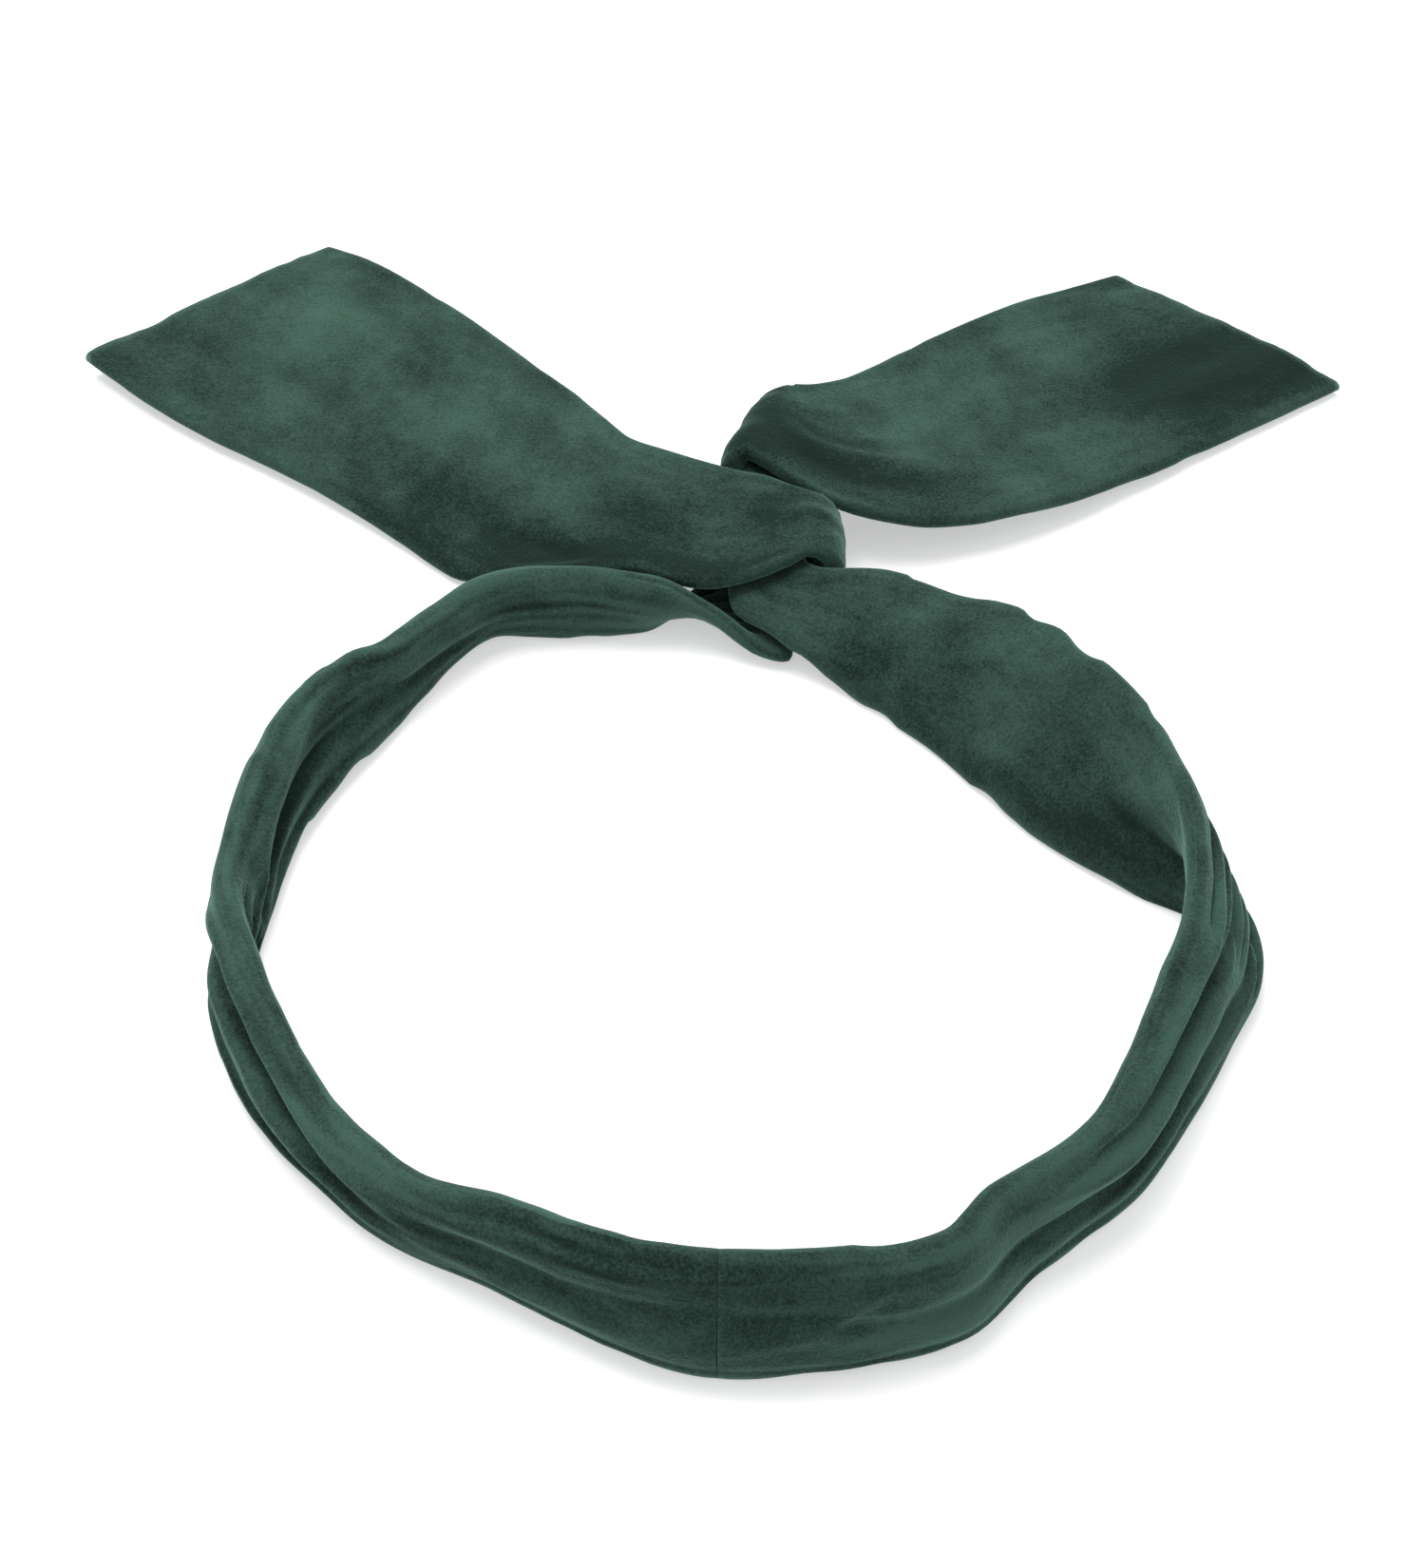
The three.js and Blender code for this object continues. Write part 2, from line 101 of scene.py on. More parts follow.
def rings(rows, before=None, after=None):
    """Smooth rings between stations on a centripetal Catmull-Rom line, and each ring's place in the list."""
    before = 2 * rows[0] - rows[1] if before is None else before
    after = 2 * rows[-1] - rows[-2] if after is None else after
    rows = [before, *rows, after]
    out, place = [], []
    for i in range(1, len(rows) - 2):
        a, b, c, d = rows[i - 1:i + 3]
        gaps = [np.linalg.norm(q[:3] - p[:3]) for p, q in ((a, b), (b, c), (c, d))]
        k0, k1, k2 = (max(math.sqrt(gap), 1e-3) for gap in gaps)
        start = k1 * ((b - a) / k0 - (c - a) / (k0 + k1) + (c - b) / k1)
        end = k1 * ((c - b) / k1 - (d - b) / (k1 + k2) + (d - c) / k2)
        count = max(2, round(gaps[1] / STEP))
        for t in np.arange(count) / count:
            h = t * t * (3 - 2 * t)
            out.append(b + (c - b) * h + start * t * (1 - t) ** 2 - end * t * t * (1 - t))
            place.append(i - 1 + t)
    out.append(rows[-2])
    place.append(len(rows) - 3)
    out = np.array(out)
    out[:, 3:6] /= np.linalg.norm(out[:, 3:6], axis=1, keepdims=True)
    return out, np.array(place)


LEFT_ROWS = [
    station(-111.4, 79, 5, 35, 4, 57),
    station(-95.5, 66.4, 4.8, 50, 4, 58),
    station(-79.5, 53.2, 5.2, 57, 5, 54),
    station(-64.3, 39.2, 6, 61, 6, 51),
    station(-51.5, 26.2, 6.8, 62, 7, 49),
    station(-47.6, 22.4, 7.2, 62, 7, 48),
    station(-40, 16.8, 8.6, 66, 8, 42),
    station(-31, 11.8, 10.6, 73, 8, 34),
    station(-22, 8.0, 12.3, 79, 10, 29.5),
    station(-10.5, 3.2, LAYER[2], 84, 6, 29.6),
    station(-2, 3.4, LAYER[2], 87, 2, 26.4),
    station(3.6, 4.0, LAYER[2], 91, 0, 21),
    *reversed(bend(8.8, 3.4, 94, 17.5, 5.3, 1.2, LAYER[0], 2.5 - 5.3)),
    station(3.8, 1.4, LAYER[0], 99, 0, 18),
    station(0.8, -3.4, LAYER[0], 107, 0, 21.4),
    station(-2.2, -8.8, LAYER[0], 114, 0, 26),
    station(-8.4, -10.4, LAYER[0] + 0.4, 119, -6, 22),
    station(-14.6, -10.2, LAYER[0] + 2.5, 124, -32, 15),
    station(-22, -10, None, 126, -70, 14.4),
    station(-34.7, -10.1, None, 291, -80, 15),
    station(-51.8, -11.8, None, 77, -82, 16),
    station(-60.1, -19.2, None, 60, -74, 16.4),
    station(-67, -29, None, 20, -76, 17.2),
    station(-74.3, -37.2, None, 325, -62, 18.4),
    station(-82.1, -48.7, None, 304, -55, 19),
    station(-87.1, -61.2, None, 304, -60, 18.6),
    station(-90.2, -78, None, 306, -64, 17.6),
    station(-91.3, -89.5, None, 316, -76, 17),
    station(-89.7, -103.2, None, 190, -70, 17),
    station(-84.6, -117.6, None, 170, -56, 17.4),
    station(-77.4, -130.5, None, 161, -52, 17.6),
    station(-69, -140.4, None, 160, -60, 17.2),
    station(-58.7, -150.2, None, 164, -72, 18),
    station(-44.9, -157.2, None, 194, -80, 20),
    station(-32.1, -164.6, None, 221, -83, 22),
    station(-20.4, -170.2, None, 250, -80, 24),
    station(-10, -172.8, None, 270, -78, 25),
]

RIGHT_ROWS = [
    station(-10, -172.8, None, 270, -78, 25),
    station(10.6, -171.3, None, 280, -82, 24.6),
    station(26, -166.7, None, 303, -81, 23.6),
    station(34.2, -157.5, None, 329, -77, 22.6),
    station(44, -149.3, None, 350, -78, 22),
    station(52.8, -141.1, None, 10, -72, 22.6),
    station(61.4, -126, None, 8, -66, 24),
    station(67.8, -111.9, None, 7, -63, 25),
    station(73.4, -98.7, None, 0, -60, 25.4),
    station(73, -81.4, None, 318, -66, 25),
    station(61.4, -65.2, None, 240, -50, 29),
    station(50.4, -51, None, 226, -40, 32),
    station(37.2, -33.2, None, 219, -33, 31),
    station(22.4, -20.6, None, 214, -24, 28),
    station(11.2, -13.8, LAYER[1] + 1.7, 209, -13, 25),
    station(0.2, -8.4, LAYER[1] + 0.8, 206, -8, 18),
    station(-1.2, 2.5, LAYER[1], 202, 0, 13.6),
    station(-0.6, 12, LAYER[1], 206, 0, 14.4),
    station(0.4, 19, LAYER[1], 224, 0, 17),
    *bend(-2.4, 29, 250, 21, 2.65, -4, LAYER[1]),
    station(3.8, 29.6, LAYER[2], 268, -2, 26.4),
    station(10.3, 25.9, LAYER[2] - 0.6, 288, -5, 35),
    station(17.4, 25.2, 11.6, 300, -8, 39.2),
    station(25.1, 27.8, 10, 306, -8, 42.6),
    station(29.1, 30, 9.2, 307, -7, 44.6),
    station(38.7, 36.2, 7.8, 311, -6, 48.6),
    station(50.6, 44.9, 6.4, 315, -5, 51.8),
    station(68.4, 57.7, 5.2, 318, -4, 53),
    station(90.8, 70.6, 5, 327, -4, 51.6),
]


def spread_over(lines, face, place, v, half):
    """What the lines on one face add up to at each ring and column, fading with distance from each line."""
    total = np.zeros((len(place), len(v)))
    for on, spread, line in lines:
        if on == face:
            at, where, amount = np.array(line, float).T
            gap = (v[None, :] - np.interp(place, at, where)[:, None]) * half[:, None]
            total += np.interp(place, at, amount, left=0, right=0)[:, None] * np.exp(-(gap / spread) ** 2)
    return total


class Run:
    """Half of the band, laid out as rings: where each is, how it is turned and how big it is."""

    def __init__(self, rows, folds, seed, before=None, after=None):
        ring, self.place = rings(rows, before, after)
        self.middle, self.side, self.half, self.thick = ring[:, :3], ring[:, 3:6], ring[:, 6], ring[:, 7]
        along = np.gradient(self.middle, axis=0)
        self.face = np.cross(along, self.side)
        self.face /= np.linalg.norm(self.face, axis=1, keepdims=True)
        steps = np.linalg.norm(np.diff(self.middle, axis=0), axis=1)
        self.travelled = np.concatenate([[0], np.cumsum(steps)])
        self.folds, self.seed = folds, seed
        nape = self.travelled[0 if rows is RIGHT_ROWS else -1]
        self.from_nape = np.abs(self.travelled - nape)
        self.loose = np.clip(self.from_nape / NAPE_EASE, 0, 1)

    def rumple(self, v, sign):
        """Fine unevenness of the cloth, which dies out towards the nape seam."""
        rough = [[noise.fractal(Vector((sign * 7 + w * h / 14, s / 34, self.seed)), 0.6, 2.1, 3) for w in v]
                 for s, h in zip(self.travelled, self.half)]
        return np.array(rough) * self.loose[:, None]

    def streaks(self, v, sign):
        """Long pale and dark streaks in the nap where the cloth is pulled and gathered into the wall."""
        marks = [[noise.noise(Vector((sign * 9 + w * h / 1.5, s / 30, self.seed))) for w in v]
                 for s, h in zip(self.travelled, self.half)]
        gathered = np.clip((self.thick - KNOTTED) / (BUNCHED - KNOTTED), 0, 1)
        gathered = gathered * np.clip((14 - self.half) / 2.5, 0, 1) * self.loose
        return np.array(marks) * gathered[:, None] * 1.5

    def scallop(self, edge):
        """How far each edge is puckered in along its wire."""
        waves = [noise.noise(Vector((s / 8.5, edge * 5, self.seed))) for s in self.travelled]
        deepest = np.where(self.thick > KNOTTED, 1.9, 0.5)
        return np.maximum(waves, 0) * deepest * self.loose

    def surface(self, v, sign, inset=0.0):
        """Points of one face, from the first edge at v = -1 to the second at v = 1."""
        half = self.half - inset
        depth = (1 - np.abs(v))[None, :] * half[:, None]
        rim = (RIM - inset) * np.sqrt(np.clip(1 - (1 - np.clip(depth / (RIM - inset), 0, 1)) ** 2, 0, None))
        belly = np.where(v < 0, UPPER_SWELL, LOWER_SWELL)[None, :] * half[:, None]
        swell = np.sin(np.clip(depth / belly, 0, 1) * math.pi / 2)
        out = rim + (self.thick[:, None] / 2 - RIM) * swell
        room = np.maximum(2 * (out + inset) - 2 * CLOTH - TUCK_GAP, 0)
        folds = np.maximum(spread_over(self.folds, sign, self.place, v, self.half), -room)
        inside_wire = depth + inset - WIRE_IN - WIRE_RADIUS - TUCK_CLEAR
        out = out + folds * np.clip(inside_wire / TUCK_FADE, 0, 1)
        out = out + self.rumple(v, sign) * np.clip(depth / 2.5, 0, 1) * RUMPLE
        sway = spread_over(self.folds, 0, self.place, v, self.half)
        pucker = np.where(v > 0, self.scallop(1)[:, None], self.scallop(-1)[:, None])
        across = v[None, :] * half[:, None] - np.sign(v) * pucker * np.abs(v) ** 6
        points = (self.middle[:, None, :] + self.side[:, None, :] * across[:, :, None]
                  + self.face[:, None, :] * (sign * out + sway)[:, :, None])
        points[:, :, 2] = np.maximum(points[:, :, 2], 0.05 + inset)
        return points

    def tube(self, inset=0.0):
        """The whole flattened tube: face one, second edge, face two, first edge."""
        v = np.sin(np.linspace(-1, 1, ACROSS + 1) * math.pi / 2)
        one, two = self.surface(v, 1, inset), self.surface(v, -1, inset)
        return np.concatenate([one[:, :-1], two[:, :0:-1]], axis=1)

    def stretch(self, inset, start, end):
        """The part of the tube between two distances along the run."""
        grid, at = self.tube(inset), np.linspace(start, end, 7)
        low = np.clip(np.searchsorted(self.travelled, at) - 1, 0, len(grid) - 2)
        part = (at - self.travelled[low]) / (self.travelled[low + 1] - self.travelled[low])
        return grid[low] + (grid[low + 1] - grid[low]) * part[:, None, None]

    def core(self, index, v):
        """A point halfway between the two faces."""
        one = slice(index, index + 1)
        sway = spread_over(self.folds, 0, self.place[one], np.array([v]), self.half[one])[0, 0]
        return self.middle[index] + self.side[index] * v * self.half[index] + self.face[index] * sway

    def edge_line(self, edge):
        """The line that a wire takes inside one edge."""
        inward = 1 - (WIRE_IN + self.scallop(edge) * 0.6) / self.half
        line = np.array([self.core(i, edge * w) for i, w in enumerate(inward)])
        line[:, 2] = np.maximum(line[:, 2], CLEAR_OF_GROUND)
        return line


def tube_mesh(name, grid, closed=()):
    """A mesh over a grid of rings; `closed` lists the ends that are sewn flat across, 0 for the first."""
    count, size = grid.shape[:2]
    faces = [(i * size + j, i * size + (j + 1) % size, (i + 1) * size + (j + 1) % size, (i + 1) * size + j)
             for i in range(count - 1) for j in range(size)]
    for end in closed:
        first = end * (count - 1) * size
        for j in range(size // 2):
            loop = [first + k % size for k in (j, j + 1, size - j - 1, size - j)]
            faces.append(tuple(dict.fromkeys(loop)))
    mesh = bpy.data.meshes.new(name)
    mesh.from_pydata((grid.reshape(-1, 3) * MM).tolist(), [], faces)
    mesh.update()
    obj = bpy.data.objects.new(name, mesh)
    bpy.context.scene.collection.objects.link(obj)
    bpy.context.view_layer.objects.active = obj
    obj.select_set(True)
    bpy.ops.object.mode_set(mode="EDIT")
    bpy.ops.mesh.select_all(action="SELECT")
    bpy.ops.mesh.normals_make_consistent(inside=False)
    bpy.ops.object.mode_set(mode="OBJECT")
    obj.select_set(False)
    mesh.polygons.foreach_set("use_smooth", [True] * len(mesh.polygons))
    return obj


def thicken(obj, thickness, open_edges=0):
    """Gives cloth its thickness, inward from its outer side; the cut edges of an open end stay sharp."""
    bpy.context.view_layer.objects.active = obj
    wall = obj.modifiers.new("cloth thickness", "SOLIDIFY")
    wall.thickness = thickness * MM
    wall.offset = -1
    bpy.ops.object.modifier_apply(modifier=wall.name)
    for vertex in obj.data.vertices:
        vertex.co.z = max(vertex.co.z, 0)
    count = len(obj.data.polygons)
    obj.data.polygons.foreach_set("use_smooth", [True] * (count - open_edges) + [False] * open_edges)


def sleeve(name, run, nap_and_painted_light, closed, first_length=0.0):
    """One half of the sleeve, with its place on the cloth as UVs and, as an attribute, the lie of its nap
    mixed with painted highlights and painted shade.
    """
    grid = run.tube()
    turn_in = 0.1 * np.exp(-run.from_nape / 0.7)
    centre = grid.mean(axis=1, keepdims=True)
    reach = np.linalg.norm(grid - centre, axis=2, keepdims=True)
    grid = centre + (grid - centre) * (1 - turn_in[:, None, None] / reach)
    obj = tube_mesh(name, grid, closed)
    mesh, size = obj.data, grid.shape[1]

    v = np.sin(np.linspace(-1, 1, ACROSS + 1) * math.pi / 2)
    nap_and_painted_light_values = []
    for sign in (1, -1):
        folds = spread_over(run.folds, sign, run.place, v, run.half)
        brushed_and_painted_light = spread_over(nap_and_painted_light, sign, run.place, v, run.half)
        # Painted highlight: the cloth is painted lighter close to each wired edge, where the rolled rims
        # catch the light.
        edge = np.exp(-((1 - np.abs(v))[None, :] * run.half[:, None] / 1.2) ** 2)
        streaks = run.streaks(v, sign)
        # Painted highlight and painted shade: raised ridges of the folds are painted lighter and tucks
        # darker.
        nap_and_painted_light_values.append(brushed_and_painted_light + np.clip(folds * 0.2, -0.5, 0.3) + edge * 0.35 + streaks)
    nap_and_painted_light_values = np.concatenate([nap_and_painted_light_values[0][:, :-1], nap_and_painted_light_values[1][:, :0:-1]], axis=1)
    mesh.attributes.new("nap_and_painted_light", "FLOAT", "POINT").data.foreach_set("value", nap_and_painted_light_values.reshape(-1).astype(np.float32))

    layer = mesh.uv_layers.new(name="cloth")
    spot = np.zeros((grid.shape[0] * size, 2))
    spot[:, 0] = np.tile(np.arange(size) / size * 1.08, grid.shape[0])
    spot[:, 1] = np.repeat((first_length + run.travelled) / 100, size)
    corners = np.zeros(len(mesh.loops), int)
    mesh.loops.foreach_get("vertex_index", corners)
    layer.data.foreach_set("uv", spot[corners].reshape(-1))
    thicken(obj, CLOTH, size)
    return obj


# Ridges and tucks: the face they are on (0 moves both faces together), how wide they spread, and where they
# run as (place in the station list, position from the first edge at -1 to the second at 1, height).

TUCK_SPOTS = (-0.64, -0.47, -0.24, -0.03, 0.14, 0.39, 0.6)
TUCK_SPREAD = 0.56
TUCK_DRIFT = 0.07                 # how far a tuck wanders, as a share of the half width


def hidden_tucks(face, places, depths, shallowest=0.82):
    """Uneven tucks that gather the cloth on the side of the wall turned away from the wearer's head."""
    lines = []
    for k, v in enumerate(TUCK_SPOTS):
        at = np.arange(places[0], places[-1] + 0.01, 0.5)
        free = np.clip(np.minimum(at, len(LEFT_ROWS) - 1 - at) / 2, 0, 1)
        drift = TUCK_DRIFT * np.sin(at * 1.3 + k * 1.9) * free
        uneven = 1 - (1 - shallowest) * (0.5 - 0.5 * np.sin(at * 1.7 + k * 2.4)) * free
        lines.append((face, TUCK_SPREAD, list(zip(at, v + drift, np.interp(at, places, depths) * uneven))))
    return lines


LEFT_FOLDS = [
    (-1, 2.0, [(31.6, -0.3, 0), (32.6, -0.6, 0.8), (34.2, -0.62, 1.4), (35.2, -0.6, 1.4), (36.3, -0.3, 1.2),
               (37.2, -0.1, 0)]),
    (-1, 1.5, [(31.8, 0.0, 0), (33, -0.3, -1.7), (34.2, -0.26, -2.2), (35.3, -0.2, -2), (36.4, 0.0, -1.1),
               (37.4, 0.2, 0)]),
    (-1, 2.0, [(32.4, 0.1, 0), (33.2, 0.0, 0.8), (34.9, 0.15, 1.3), (35.8, 0.25, 1.2), (37, 0.3, 0)]),
    (-1, 1.2, [(32.4, 0.6, 0), (33.4, 0.5, -0.9), (35, 0.55, -1.2), (36.4, 0.6, -0.7), (37.6, 0.66, 0)]),
    (-1, 2.2, [(36, -0.95, 0), (37.1, -0.85, 0.7), (37.8, -0.58, 1.1), (38.9, -0.57, 1.0), (40.3, -0.72, 0.9),
               (41, -0.8, 0.8)]),
    (-1, 1.6, [(36.6, -0.4, 0), (37.6, -0.2, -0.8), (39, -0.1, -1.0), (40.2, -0.2, -0.6), (41, -0.3, -0.3)]),
    (-1, 2.2, [(36.9, 0.05, 0), (38.1, 0.36, 1.0), (39.4, 0.36, 1.2), (40.3, 0.4, 1.0), (41, 0.34, 0.8)]),
    (-1, 1.2, [(37.4, 0.66, 0), (38.6, 0.7, -0.8), (40, 0.74, -0.6), (41, 0.74, -0.3)]),
    (1, 2.2, [(28.2, -0.95, 0), (28.8, -0.8, 1.0), (30.2, -0.5, 1.6), (31.1, -0.38, 1.6), (31.6, 0.2, 1.0),
              (32.2, 0.6, 0)]),
    (1, 1.4, [(27.6, 0.1, 0), (29, 0.0, -2), (30.4, 0.0, -2.4), (31.2, 0.15, -2), (32, 0.5, 0)]),
    (1, 1.2, [(28.4, 0.6, 0), (29.4, 0.55, -1), (30.6, 0.5, -1), (31.4, 0.7, 0)]),
    (1, 1.4, [(25, 0.1, 0), (26, 0.1, -1), (27, 0.0, -1.1), (28, -0.1, 0)]),
    *hidden_tucks(1, (31.8, 32.6, 36, 39, 41), (0, -5.4, -5.8, -5.8, -5.2)),
    *hidden_tucks(-1, (20.6, 22, 26, 31, 32.2), (0, -4.8, -5.6, -5.6, 0)),
    *hidden_tucks(-1, (4.6, 6, 8, 10, 11), (0, -0.9, -1.2, -0.9, 0), 0),
    (1, 3.0, [(2.6, -0.6, 0), (4.2, -0.56, -1.2), (5.4, -0.6, -1.7), (6.4, -0.74, -1.6), (7.4, -0.95, 0)]),
    (1, 5.0, [(2.0, -0.2, 0), (3.8, -0.2, 1.0), (5.2, -0.24, 1.2), (6.6, -0.4, 1.0), (8, -0.6, 0)]),
    (0, 9.0, [(2.4, -1, 0), (4, -1, -2.4), (5.4, -1, -2.6), (6.6, -1, -1.6), (7.6, -1, 0)]),
    (0, 7.0, [(0, -1, 1.0), (0.6, -1, 0.6), (1.6, -1, 0)]),
    (0, 14.0, [(0, 1, -1.4), (1, 1, -1), (2.4, 1, 0.8), (3.6, 1, 0)]),
]
RIGHT_FOLDS = [
    (-1, 2.0, [(2.6, -0.7, 0), (3.6, -0.48, 1.0), (4.8, -0.3, 1.5), (5.8, -0.17, 1.5), (6.8, 0, 1.1),
               (7.8, 0.1, 0)]),
    (-1, 2.2, [(0, 0.34, 0.8), (0.7, 0.05, 1.0), (1, -0.35, 1.0), (1.6, -0.8, 0)]),
    (-1, 2.2, [(0, -0.8, 0.8), (0.8, -0.85, 0.5), (1.6, -0.9, 0)]),
    (-1, 1.6, [(5, -0.6, 0), (5.6, -0.66, 0.9), (6.2, -0.74, 1.2), (7.1, -0.65, 1.2), (8, -0.55, 1.0),
               (8.7, -0.7, 0)]),
    (-1, 1.3, [(4.2, -0.75, 0), (5.2, -0.55, -1.6), (6.2, -0.48, -2.2), (7.2, -0.38, -2.2), (8.4, -0.2, -1.4),
               (9.4, 0, 0)]),
    (-1, 1.6, [(0, -0.3, -0.3), (1.2, 0.0, -0.6), (2.4, 0.0, -1.1), (3.6, 0.05, -1.6), (5, 0.2, -2),
               (6.4, 0.3, -1.8), (8, 0.4, -1.3), (9, 0.5, 0)]),
    (-1, 1.4, [(0, 0.74, -0.3), (2, 0.66, -0.6), (4, 0.64, -0.9), (6, 0.7, -0.8), (7.5, 0.8, 0)]),
    *hidden_tucks(1, (0, 2, 4, 6.4, 8.2), (-5, -5.2, -5.2, -5, 0)),
    (1, 2.4, [(9, -0.7, 0), (9.5, -0.4, 1), (10, -0.1, 1.2), (10.6, 0.1, 0)]),
    (1, 1.6, [(8.2, -0.2, 0), (8.9, 0.0, -1.2), (9.5, 0.1, -1.2), (10.3, 0.2, 0)]),
    *hidden_tucks(-1, (7.6, 9, 11, 12.8, 14), (0, -4.8, -5, -4.6, 0)),
    *hidden_tucks(1, (23.6, 25, 27, 29, 31), (0, -0.7, -0.7, -0.5, 0), 0),
    (1, 4.0, [(11, -0.2, 0), (12.4, -0.1, 0.7), (13.6, -0.2, 0.9), (14.6, -0.3, 0)]),
    (0, 8.0, [(27, 1, 0), (29.4, 1, -0.8), (31.4, 1, 0.8), (33, 1, 1.6)]),
    (-1, 3.0, [(24, 0.1, 0), (25.4, 0.16, 1.2), (27, 0.2, 1.0), (29, 0.3, 0)]),
]

# Painted light and shade, mixed with the lie of the nap: the cloth painted lighter (positive) or darker along
# lines given in the same way.
LEFT_NAP_AND_PAINTED_LIGHT = [
    (1, 9.0, [(0, -0.1, 0.3), (1.4, 0.1, 0.5), (2.5, 0.1, 0.45), (3.8, 0.1, 0.2), (5, 0.2, 0)]),
    (1, 9.0, [(0, 0.5, 0.2), (1, 0.5, 0.7), (2, 0.5, 0.6), (3, 0.5, 0)]),
    (1, 6.5, [(2.4, -0.9, 0), (3.6, -0.85, -1.1), (5, -0.8, -1.4), (6.6, -0.85, -1.4), (8, -0.9, -1.1),
              (10, -0.9, -0.5), (12, -0.9, 0)]),
    (1, 6.0, [(3.6, 0.6, 0), (4.6, 0.5, -0.45), (6, 0.45, -0.45), (7.4, 0.4, 0)]),
    (1, 5.0, [(0, 0.95, -0.2), (0.8, 0.9, -0.5), (1.6, 0.9, -0.2), (2.6, 0.9, 0)]),
    (1, 8.0, [(7.4, 0.2, 0), (8.6, 0.1, -0.6), (11, 0.2, -0.5), (12, 0.2, -0.3), (14, 0, -0.5)]),
    (1, 9.0, [(20, 0, 0), (20.8, 0, 1.6), (22.6, 0, 1.6), (24.6, 0, 0)]),
    (1, 6.0, [(25, 0.2, 0), (27, 0.2, -0.35), (30, 0.2, -0.35), (32, 0.2, 0)]),
    (-1, 9.0, [(38, 0, 0), (39.4, 0.1, -0.4), (41, 0.1, -0.6)]),
    (-1, 1.6, [(33, -0.7, 0), (34.4, -0.62, 0.6), (36.4, -0.3, 0.5), (38, 0, 0.4), (39.4, 0.2, 0)]),
]
RIGHT_NAP_AND_PAINTED_LIGHT = [
    (-1, 9.0, [(0, 0.1, -0.6), (0.6, 0.2, -0.4), (1.2, 0.1, 0.4), (2, 0, 1.5), (3.6, 0, 1), (4.6, 0, 0.6),
               (6, 0.1, 0.9), (8.4, 0.1, 0.7), (9.4, 0.1, 0)]),
    (-1, 3.0, [(0.8, 0.4, 0), (1.6, 0.1, 0.9), (2.6, -0.2, 0.8), (4, -0.3, 0.5), (5.4, -0.2, 0.6),
               (6.6, 0, 0.6), (8, 0.1, 0)]),
    (-1, 10.0, [(21, 0, -1.6), (24, 0.1, -1.7), (26, 0.3, -1.2), (28, 0.5, 0)]),
    (-1, 7.0, [(26.4, -0.35, 0), (27.8, -0.35, 0.55), (30.3, -0.3, 0.6), (31.4, -0.2, 0.3), (32.4, 0, 0)]),
    (-1, 11.0, [(31, 0.1, 0), (32, 0.3, -2), (33, 0.5, -2)]),
    (1, 9.0, [(8.6, 0.3, 0), (9.6, 0.4, -0.5), (12, 0.6, -0.4), (13.4, 0.6, -0.2)]),
    (1, 8.0, [(11, -0.4, 0), (12, -0.3, -0.4), (13.2, -0.1, -0.2), (14.6, 0, -0.1), (16, 0, 0)]),
]

left_run = Run(LEFT_ROWS, LEFT_FOLDS, 3.1, after=RIGHT_ROWS[1])
right_run = Run(RIGHT_ROWS, RIGHT_FOLDS, 8.4, before=LEFT_ROWS[-2])
left_sleeve = sleeve("left_sleeve_cloth", left_run, LEFT_NAP_AND_PAINTED_LIGHT, (0,))
right_sleeve = sleeve("right_sleeve_cloth", right_run, RIGHT_NAP_AND_PAINTED_LIGHT, (1,), left_run.travelled[-1])


# The suede is a dark green brushed cloth. Its nap lies in soft patches that catch the light differently, it
# carries painted highlights on its ridges and wired edges and painted shade in its tucks and shaded strips,
# and its fibres give it a fine grain and a pale bloom at grazing angles.

class Value:
    """A number running through a shader: arithmetic on it adds Math nodes."""

    def __init__(self, shader, socket):
        self.shader, self.socket = shader, socket

    def maths(self, operation, first, second):
        return self.shader.node("ShaderNodeMath", {"operation": operation}, {0: first, 1: second})

    def __add__(self, other):
        return self.maths("ADD", self, other)

    def __radd__(self, other):
        return self.maths("ADD", other, self)

    def __sub__(self, other):
        return self.maths("SUBTRACT", self, other)

    def __rsub__(self, other):
        return self.maths("SUBTRACT", other, self)

    def __mul__(self, other):
        return self.maths("MULTIPLY", self, other)

    def __rmul__(self, other):
        return self.maths("MULTIPLY", other, self)


class Shader:
    """A material under construction."""

    def __init__(self, name):
        self.material = bpy.data.materials.new(name)
        self.material.use_nodes = True
        self.tree = self.material.node_tree
        self.surface = self.tree.nodes["Principled BSDF"]

    def node(self, kind, settings, inputs, output=0):
        made = self.tree.nodes.new(kind)
        for key, value in settings.items():
            setattr(made, key, value)
        self.feed(made, inputs)
        return Value(self, made.outputs[output])

    def feed(self, made, inputs):
        for key, value in inputs.items():
            if isinstance(value, Value):
                self.tree.links.new(value.socket, made.inputs[key])
            else:
                made.inputs[key].default_value = value


